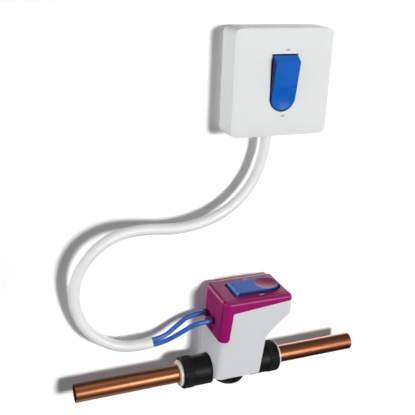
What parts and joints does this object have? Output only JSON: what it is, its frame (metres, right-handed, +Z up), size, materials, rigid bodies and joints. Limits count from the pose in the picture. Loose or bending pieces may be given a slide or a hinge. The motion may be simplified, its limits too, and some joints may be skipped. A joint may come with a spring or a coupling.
{
  "type": "remote-controlled stopcock",
  "caption": "Wall switch with a rocker, joined by sleeved pilot tubes to a hooded push-fit stopcock on a copper water pipe, with its own rocker on top.",
  "frame": {"origin": "centre of the wall switch's back face, on the wall", "axes": "+X along the pipe to the right, +Y into the wall, +Z up"},
  "size_m": [0.2551, 0.0671, 0.296],
  "materials": {
    "case_plastic": "satin moulded",
    "rocker_plastic": "semi-gloss moulded",
    "hood_plastic": "gloss moulded",
    "body_plastic": "fine moulded",
    "collet_plastic": "semi-gloss moulded",
    "pilot_plastic": "moulded",
    "plunger_plastic": "turned",
    "sleeve_plastic": "satin extruded",
    "tube_plastic": "extruded",
    "seal_rubber": "moulded",
    "hose_rubber": "extruded",
    "steel": "bright",
    "brass": "turned",
    "copper": "drawn and bright"
  },
  "bodies": {
    "root": {"switch_back_tray": "case_plastic", "switch_cover": "case_plastic", "switch_rocker_pin": "steel", "switch_pilot_block": "pilot_plastic", "switch_block_screws": "steel", "switch_open_spring": "steel", "switch_close_spring": "steel", "switch_port_seals": "seal_rubber", "switch_tube_tails": "tube_plastic", "sleeve_gland": "case_plastic", "tube_sleeve": "sleeve_plastic", "open_tube": "tube_plastic", "close_tube": "tube_plastic", "valve_body": "body_plastic", "valve_seat": "brass", "piston_spring": "steel", "bonnet": "body_plastic", "bonnet_screws": "steel", "pilot_risers": "hose_rubber", "valve_manifold": "pilot_plastic", "hood_screws": "steel", "valve_rocker_pin": "steel", "valve_open_spring": "steel", "valve_close_spring": "steel", "valve_port_seals": "seal_rubber", "valve_tube_ends": "tube_plastic", "casing_screws": "steel", "grab_rings": "steel", "pipe_spacers": "collet_plastic", "pipe_seals": "seal_rubber", "left_copper_pipe": "copper", "right_copper_pipe": "copper", "valve_hood": "hood_plastic", "valve_casing": "case_plastic"},
    "switch_rocker_body": {"switch_rocker": "rocker_plastic"},
    "switch_open_plunger_body": {"switch_open_plunger": "plunger_plastic", "switch_open_ring": "seal_rubber"},
    "switch_close_plunger_body": {"switch_close_plunger": "plunger_plastic", "switch_close_ring": "seal_rubber"},
    "switch_open_collet_body": {"switch_open_collet": "collet_plastic"},
    "switch_close_collet_body": {"switch_close_collet": "collet_plastic"},
    "valve_rocker_body": {"valve_rocker": "rocker_plastic", "valve_rocker_pad": "hood_plastic"},
    "valve_open_plunger_body": {"valve_open_plunger": "plunger_plastic", "valve_open_ring": "seal_rubber"},
    "valve_close_plunger_body": {"valve_close_plunger": "plunger_plastic", "valve_close_ring": "seal_rubber"},
    "valve_open_collet_body": {"valve_open_collet": "collet_plastic"},
    "valve_close_collet_body": {"valve_close_collet": "collet_plastic"},
    "piston_body": {"main_piston": "plunger_plastic", "piston_seal": "seal_rubber", "seat_washer": "seal_rubber", "washer_screw": "brass"},
    "left_cap_body": {"left_screw_cap": "body_plastic"},
    "right_cap_body": {"right_screw_cap": "body_plastic"},
    "left_pipe_collet_body": {"left_pipe_collet": "collet_plastic"},
    "right_pipe_collet_body": {"right_pipe_collet": "collet_plastic"}
  },
  "joints": [
    {"name": "switch_rocker_tilt", "type": "hinge", "parent": "root", "child": "switch_rocker_body", "pos_m": [0, -0.0204, 0], "axis": [-1, 0, 0], "range_deg": [0, 18.4]},
    {"name": "switch_open_plunge", "type": "slide", "parent": "root", "child": "switch_open_plunger_body", "axis": [0, 1, 0], "range_m": [0, 0.0042], "deforming": ["switch_open_spring"]},
    {"name": "switch_close_plunge", "type": "slide", "parent": "root", "child": "switch_close_plunger_body", "axis": [0, -1, 0], "range_m": [0, 0.0042], "deforming": ["switch_close_spring"]},
    {"name": "switch_open_collet_slide", "type": "slide", "parent": "root", "child": "switch_open_collet_body", "axis": [0, 0, 1], "range_m": [0, 0.0005]},
    {"name": "switch_close_collet_slide", "type": "slide", "parent": "root", "child": "switch_close_collet_body", "axis": [0, 0, 1], "range_m": [0, 0.0005]},
    {"name": "valve_rocker_tilt", "type": "hinge", "parent": "root", "child": "valve_rocker_body", "pos_m": [-0.0233, -0.0454, -0.174], "axis": [0, 1, 0], "range_deg": [-9.2, 9.2]},
    {"name": "valve_open_plunge", "type": "slide", "parent": "root", "child": "valve_open_plunger_body", "axis": [0, 0, 1], "range_m": [-0.0021, 0.0021], "deforming": ["valve_open_spring"]},
    {"name": "valve_close_plunge", "type": "slide", "parent": "root", "child": "valve_close_plunger_body", "axis": [0, 0, -1], "range_m": [-0.0021, 0.0021], "deforming": ["valve_close_spring"]},
    {"name": "valve_open_collet_slide", "type": "slide", "parent": "root", "child": "valve_open_collet_body", "axis": [1, 0, 0], "range_m": [0, 0.0005]},
    {"name": "valve_close_collet_slide", "type": "slide", "parent": "root", "child": "valve_close_collet_body", "axis": [1, 0, 0], "range_m": [0, 0.0005]},
    {"name": "piston_lift", "type": "slide", "parent": "root", "child": "piston_body", "axis": [0, 0, 1], "range_m": [0, 0.0045], "stiffness_N_per_m": 150, "springref_m": -0.008, "deforming": ["piston_spring"]},
    {"name": "left_cap_turn", "type": "hinge", "parent": "root", "child": "left_cap_body", "pos_m": [-0.082, -0.0454, -0.239], "axis": [-1, 0, 0], "range_deg": [0, 60]},
    {"name": "right_cap_turn", "type": "hinge", "parent": "root", "child": "right_cap_body", "pos_m": [-0.006, -0.0454, -0.239], "axis": [1, 0, 0], "range_deg": [0, 60]},
    {"name": "left_pipe_collet_slide", "type": "slide", "parent": "root", "child": "left_pipe_collet_body", "axis": [1, 0, 0], "range_m": [0, 0.0012]},
    {"name": "right_pipe_collet_slide", "type": "slide", "parent": "root", "child": "right_pipe_collet_body", "axis": [-1, 0, 0], "range_m": [0, 0.0012]}
  ],
  "couplings": [
    {"joint": "switch_open_plunge", "follows": "switch_rocker_tilt", "m_per_rad": 0.013},
    {"joint": "switch_close_plunge", "follows": "switch_rocker_tilt", "m_per_rad": 0.013},
    {"joint": "valve_open_plunge", "follows": "valve_rocker_tilt", "m_per_rad": 0.013},
    {"joint": "valve_close_plunge", "follows": "valve_rocker_tilt", "m_per_rad": 0.013}
  ]
}
